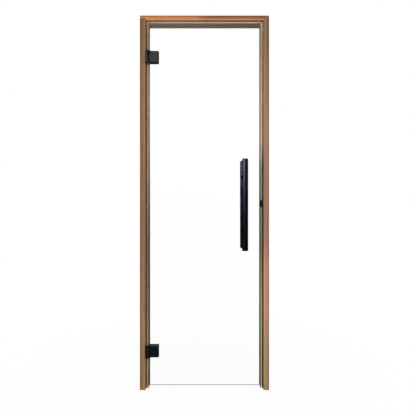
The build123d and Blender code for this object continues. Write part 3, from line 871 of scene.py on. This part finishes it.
# %% Copy the pane and finish its edges
looks_along_y = 0.95
pane_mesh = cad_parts["glass_pane"].data.copy()
pane_mesh.name = "pane"
pane_mesh.materials.clear()
pane_mesh.materials.append(finishes["glass"])
pane_mesh.materials.append(finishes["ground_edge"])
for face in pane_mesh.polygons:
    face.material_index = 0 if abs(face.normal.y) > looks_along_y else 1
pane = add_object("pane", pane_mesh)
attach(pane, "door_leaf")
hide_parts("glass_pane")
print("ground faces:", sum(face.material_index for face in pane_mesh.polygons), "of", len(pane_mesh.polygons))

# %% [markdown]
# ## The seal, bent round the corners
#
# On the real frame one strip of seal runs up, along and down, and is bent round both top corners. The CAD
# solids meet there square, because straight lengths are enough for their job. A curve with a bevel could
# draw the strip, but its hollow section shows where it is cut at the catch, so the section is swept point
# by point.

# %% Section and route of the seal
seal_half, seal_flank, seal_crown, channel_radius = 0.00425, 0.0012, 0.0040, 0.0010
seal_bend, bend_steps, crown_steps = 0.0090, 14, 14
stop_face = -0.013
hinge_side, latch_side, head_side = 0.038, 0.652, 1.970
seal_foot, catch_top, catch_bottom = 0.002, 1.0155, 0.9745


def seal_section():
    """Outer outline of the bulb as (across, height) pairs, and the hollow inside it point for point."""
    rise = seal_crown - seal_flank
    radius = (seal_half**2 + rise**2) / (2 * rise)
    middle = seal_crown - radius
    spread = math.asin(seal_half / radius)
    outer = [(-seal_half, 0.0)]
    for step in range(crown_steps + 1):
        turn = -spread + 2 * spread * step / crown_steps
        outer.append((radius * math.sin(turn), middle + radius * math.cos(turn)))
    outer += [(seal_half, 0.0), (seal_half / 2, 0.0), (0.0, 0.0), (-seal_half / 2, 0.0)]
    centre = seal_crown / 2
    inner = []
    for across, height in outer:
        turn = math.atan2(height - centre, across)
        inner.append((channel_radius * math.cos(turn), centre + channel_radius * math.sin(turn)))
    return outer, inner


def bend(centre, start_degrees):
    """Points of a quarter turn to the right, with the way they head."""
    stations = []
    for step in range(bend_steps + 1):
        turn = math.radians(start_degrees - 90 * step / bend_steps)
        place = (centre[0] + seal_bend * math.cos(turn), centre[1] + seal_bend * math.sin(turn))
        stations.append((place, (math.sin(turn), -math.cos(turn))))
    return stations


outer, inner = seal_section()
print("seal section:", len(outer), "points")

# %% Sweep the seal
sharp_from = math.radians(40)


def bridge(mesh, near, far):
    """Faces between two closed loops of points."""
    count = len(near)
    for i in range(count):
        j = (i + 1) % count
        mesh.faces.new((near[i], near[j], far[j], far[i]))


def smooth_piece(mesh, name, finish):
    """An object from the mesh, shaded smooth and dressed in its finish."""
    bmesh.ops.recalc_face_normals(mesh, faces=mesh.faces)
    data = bpy.data.meshes.new(name)
    mesh.to_mesh(data)
    mesh.free()
    data.shade_smooth()
    piece = add_object(name, data)
    dress(piece, finish)
    return piece


def sweep_seal(name, stations):
    """A hollow strip that follows the stations, lying on the stop and rising towards the glass."""
    mesh = bmesh.new()
    cuts = []
    for (x, z), (head_x, head_z) in stations:
        side_x, side_z = head_z, -head_x
        cut = []
        for outline in (outer, inner):
            cut.append([mesh.verts.new((x + a * side_x, stop_face - h, z + a * side_z)) for a, h in outline])
        cuts.append(cut)
    for near, far in zip(cuts, cuts[1:]):
        for loops in zip(near, far):
            bridge(mesh, *loops)
    for end in (cuts[0], cuts[-1]):
        bridge(mesh, *end)
    piece = smooth_piece(mesh, name, "silicone")
    piece.data.set_sharp_from_angle(angle=sharp_from)
    return piece


up, down = (0.0, 1.0), (0.0, -1.0)
bend_low = head_side - seal_bend
long_run = [((hinge_side, seal_foot), up)]
long_run += bend((hinge_side + seal_bend, bend_low), 180)
long_run += bend((latch_side - seal_bend, bend_low), 90)
long_run += [((latch_side, catch_top), down)]
seal_run = sweep_seal("seal_run", long_run)
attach(seal_run, "door_frame")
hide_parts("hinge_side_seal", "head_seal", "latch_side_seal_upper")
short_run = [((latch_side, catch_bottom), down), ((latch_side, seal_foot), down)]
seal_below_catch = sweep_seal("seal_below_catch", short_run)
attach(seal_below_catch, "door_frame")
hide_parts("latch_side_seal_lower")
print("seal faces:", len(seal_run.data.polygons), len(seal_below_catch.data.polygons))

# %% [markdown]
# ## Weld beads on the pulls
#
# Each post is welded to its tube, and the coat flows over a small round bead. Where a round post meets a
# round tube, the joint is a saddle and not a circle. A torus would float off the tube at two sides, so the
# bead's path is worked out from the two radii and a thin ring is swept along it.

# %% Make the weld beads
post_radius, tube_radius, bead_radius = 0.0090, 0.0160, 0.0011
pull_axes = {"outer": (-0.080, 1.0), "inner": (0.037, -1.0)}
post_heights = (0.840, 1.140)
bead_steps, bead_sides = 56, 10
ripples, ripple_depth = 14, 0.08


def saddle(turn, axis_y, towards_glass, height):
    """A point of the line where post and tube meet, and the ways that lead off the post and off the tube."""
    across, rise = post_radius * math.cos(turn), post_radius * math.sin(turn)
    depth = math.sqrt(tube_radius**2 - across**2)
    place = Vector((pull_across + across, axis_y + towards_glass * depth, height + rise))
    from_post = Vector((math.cos(turn), 0.0, math.sin(turn)))
    from_tube = Vector((across, towards_glass * depth, 0.0)).normalized()
    return place, from_post, from_tube


def weld_beads(side):
    """The two beads of one pull."""
    axis_y, towards_glass = pull_axes[side]
    mesh = bmesh.new()
    for height in post_heights:
        rings = []
        for step in range(bead_steps):
            place, one, other = saddle(2 * math.pi * step / bead_steps, axis_y, towards_glass, height)
            other = (other - one * other.dot(one)).normalized()
            ripple = 1.0 + ripple_depth * math.sin(step * 2 * math.pi * ripples / bead_steps)
            ring = []
            for i in range(bead_sides):
                turn = 2 * math.pi * i / bead_sides
                offset = (one * math.cos(turn) + other * math.sin(turn)) * bead_radius * ripple
                ring.append(mesh.verts.new(place + offset))
            rings.append(ring)
        for near, far in zip(rings, rings[1:] + rings[:1]):
            bridge(mesh, near, far)
    piece = smooth_piece(mesh, side + "_pull_weld_beads", "pull_black")
    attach(piece, "door_leaf")
    return piece


for side in pull_axes:
    beads = weld_beads(side)
    print(beads.name, len(beads.data.polygons), "faces")

# %% [markdown]
# ## Floor and background
#
# The photograph's background is plain white. More light on the floor would also bleach the door. Instead
# the Light Path node tells rays apart. Rays straight from the camera, or on through the glass, see white.
# Rays that a shiny piece has mirrored see a dim room, brighter above than at the floor, as the black parts
# of the photograph show it. All other rays carry light, and they meet a plain pale floor and a soft even
# room.

# %% Sort the rays that reach the background
pane_passes = 0.925
first_bounce = 0.5


def background_rays(tree):
    """Whether a ray shows the background, whether it was mirrored, and whether it came through glass."""
    path = tree.nodes.new("ShaderNodeLightPath").outputs
    shows = maths(tree, "MAXIMUM", path["Is Camera Ray"], path["Is Transmission Ray"])
    shows = maths(tree, "MAXIMUM", shows, path["Is Glossy Ray"])
    shows = times(tree, shows, maths(tree, "LESS_THAN", path["Diffuse Depth"], first_bounce))
    mirrored = maths(tree, "GREATER_THAN", path["Glossy Depth"], first_bounce)
    through = times(tree, path["Is Transmission Ray"], rest(tree, mirrored))
    return shows, mirrored, through


def background_strength(tree, mirrored, through, mirror_level):
    """1 for white, a little more behind glass, which turns some light away, and the mirror's own level."""
    plain = plus(tree, 1.0, times(tree, through, 1.0 / pane_passes - 1.0))
    kept = times(tree, plain, rest(tree, mirrored))
    return plus(tree, kept, times(tree, mirrored, mirror_level))


print("a pane passes", pane_passes)

# %% Lay the floor
floor_size, floor_drop = 24.0, 0.0005
shadow_reach, shadow_share = (0.4, 1.6), 0.09
mirrored_floor, lit_share = 0.018, 0.9


def floor_finish():
    """A pale floor that the camera sees as white, with the object's shadow on it."""
    tree, shader, place, normal = new_finish("pale_floor")
    x, y, z = parts_of(tree, place)
    near = fading(tree, length_of(tree, x, y), *shadow_reach)
    grains = noise(tree, place, scale=40.0, detail=3.0)
    tone = mixed(tree, grains, (0.50, 0.49, 0.48, 1), (0.56, 0.55, 0.54, 1))
    fill(tree, shader, Base_Color=tone, Roughness=0.8)
    shows, mirrored, through = background_rays(tree)
    strength = background_strength(tree, mirrored, through, mirrored_floor)
    level = times(tree, strength, lit_share)
    shade = new_node(tree, "ShaderNodeCombineColor", level, level, level)
    lit = new_node(tree, "ShaderNodeBsdfDiffuse", shade.outputs[0])
    glow = new_node(tree, "ShaderNodeEmission", no_tint, strength)
    seen = either(tree, times(tree, near, shadow_share), glow.outputs[0], lit.outputs[0])
    fill(tree, tree.nodes["Material Output"], Surface=either(tree, shows, shader.outputs[0], seen))


corner = floor_size / 2
floor_mesh = bpy.data.meshes.new("floor")
floor_corners = [(-corner, -corner, 0), (corner, -corner, 0), (corner, corner, 0), (-corner, corner, 0)]
floor_mesh.from_pydata(floor_corners, [], [(0, 1, 2, 3)])
floor_finish()
floor_mesh.materials.append(finishes["pale_floor"])
floor = add_object("floor", floor_mesh)
floor.location = (middle_of_door, 0.0, -floor_drop)
print("floor", floor_size, "m wide")

# %% [markdown]
# The mirrored room has one window, left in front. The black tubes show it as a narrow streak that fades
# downwards. A lamp could make that streak, but it would stand in the glass as a hard rectangle from other
# sides, so the window is a soft band in the surroundings. The even light is kept for rays that have left a
# dull surface, because at a grazing angle it would lie on the timber as a grey sheen.

# %% The white surroundings
ambient, ambient_tint = 0.36, (0.97, 0.98, 1.0, 1)
mirrored_horizon, mirrored_height, brighter_up = 0.04, 0.72, (-0.02, 0.35)
darker_sides, aside_between = 0.85, (0.25, 0.85)
darker_behind, behind_between = 0.85, (0.0, 0.6)
window_turn, window_half, window_soft = math.radians(45.0), 0.09, 0.10
window_growth, window_low, window_most, window_top = 19.0, 0.60, 6.5, (0.16, 0.34)


def mirrored_window(tree, heading):
    """How bright the window is in a direction: a soft upright band, left in front, that brightens upwards."""
    x, y, z = heading
    to_x, to_y = -math.sin(window_turn), -math.cos(window_turn)
    forward = weighed(tree, (x, to_x), (y, to_y))
    sideways = maths(tree, "ABSOLUTE", minus(tree, times(tree, x, to_y), times(tree, y, to_x)))
    band = fading(tree, sideways, window_half, window_half + window_soft)
    band = times(tree, band, maths(tree, "GREATER_THAN", forward, 0.0))
    band = times(tree, band, fading(tree, z, *window_top))
    growth = maths(tree, "POWER", math.e, times(tree, z, window_growth))
    level = maths(tree, "MINIMUM", times(tree, growth, window_low), window_most)
    return times(tree, band, level)


world = bpy.data.worlds.new("studio")
scene.world = world
world.use_nodes = True
sky = world.node_tree
sky.nodes.clear()
heading = parts_of(sky, sky.nodes.new("ShaderNodeTexCoord").outputs["Generated"])
rising = times(sky, ramped(sky, heading[2], *brighter_up), mirrored_height - mirrored_horizon)
room = plus(sky, rising, mirrored_horizon)
aside = times(sky, ramped(sky, maths(sky, "ABSOLUTE", heading[0]), *aside_between), darker_sides)
behind = times(sky, ramped(sky, heading[1], *behind_between), darker_behind)
for share in (aside, behind):
    room = times(sky, room, rest(sky, share))
room = plus(sky, room, mirrored_window(sky, heading))
shows, mirrored, through = background_rays(sky)
white = new_node(sky, "ShaderNodeBackground", no_tint, background_strength(sky, mirrored, through, room))
diffuse_depth = sky.nodes.new("ShaderNodeLightPath").outputs["Diffuse Depth"]
after_diffuse = maths(sky, "GREATER_THAN", diffuse_depth, first_bounce)
soft = new_node(sky, "ShaderNodeBackground", ambient_tint, times(sky, after_diffuse, ambient))
new_node(sky, "ShaderNodeOutputWorld", either(sky, shows, soft.outputs[0], white.outputs[0]))
print("ambient light", ambient)

# %% [markdown]
# ## Lamps
#
# The front of the real door is lit evenly, and its inner faces fall off towards the floor. One lamp alone
# would leave one of the two stops black. So one wide soft lamp stands in front above eye level, a cool one
# to the left and a plain one to the right reach the inner faces, one more lights the back, and two weak
# ones keep the outer sides readable. None of them is mirrored, because the shine comes from the room.

# %% Hang the lamps
def soft_lamp(name, place, aim, width, height, power, tint=(1.0, 1.0, 1.0)):
    """A rectangular area lamp that looks at a point and isn't mirrored."""
    data = bpy.data.lights.new(name, "AREA")
    data.shape = "RECTANGLE"
    data.size = width
    data.size_y = height
    data.energy = power
    data.color = tint
    lamp = add_object(name, data)
    lamp.location = place
    lamp.rotation_euler = (Vector(aim) - Vector(place)).to_track_quat("-Z", "Y").to_euler()
    lamp.visible_glossy = False
    lamp.visible_transmission = False
    lamp.visible_camera = False
    print(name, "power", power)


soft_lamp("front lamp", (0.35, -4.5, 2.3), (0.35, 0.0, 1.0), width=5.0, height=2.6, power=116.0)
left_place, left_tint = (-3.0, -1.9, 2.1), (0.74, 0.77, 1.0)
soft_lamp("left lamp", left_place, (0.35, 0.0, 1.2), width=1.5, height=1.9, power=42.0, tint=left_tint)
soft_lamp("back lamp", (0.35, 4.0, 3.4), (0.35, 0.0, 0.9), width=4.5, height=3.0, power=110.0)
soft_lamp("right lamp", (3.2, -1.9, 2.1), (0.35, 0.0, 1.3), width=1.2, height=1.9, power=38.0)
soft_lamp("far right lamp", (3.6, 0.0, 1.9), (0.35, 0.0, 1.0), width=0.4, height=2.2, power=16.0)
soft_lamp("far left lamp", (-3.2, 0.0, 1.9), (0.35, 0.0, 1.0), width=0.4, height=2.2, power=20.0)

# %% [markdown]
# ## Finish
#
# The view layer is brought up to date.

# %% Finish
bpy.context.view_layer.update()
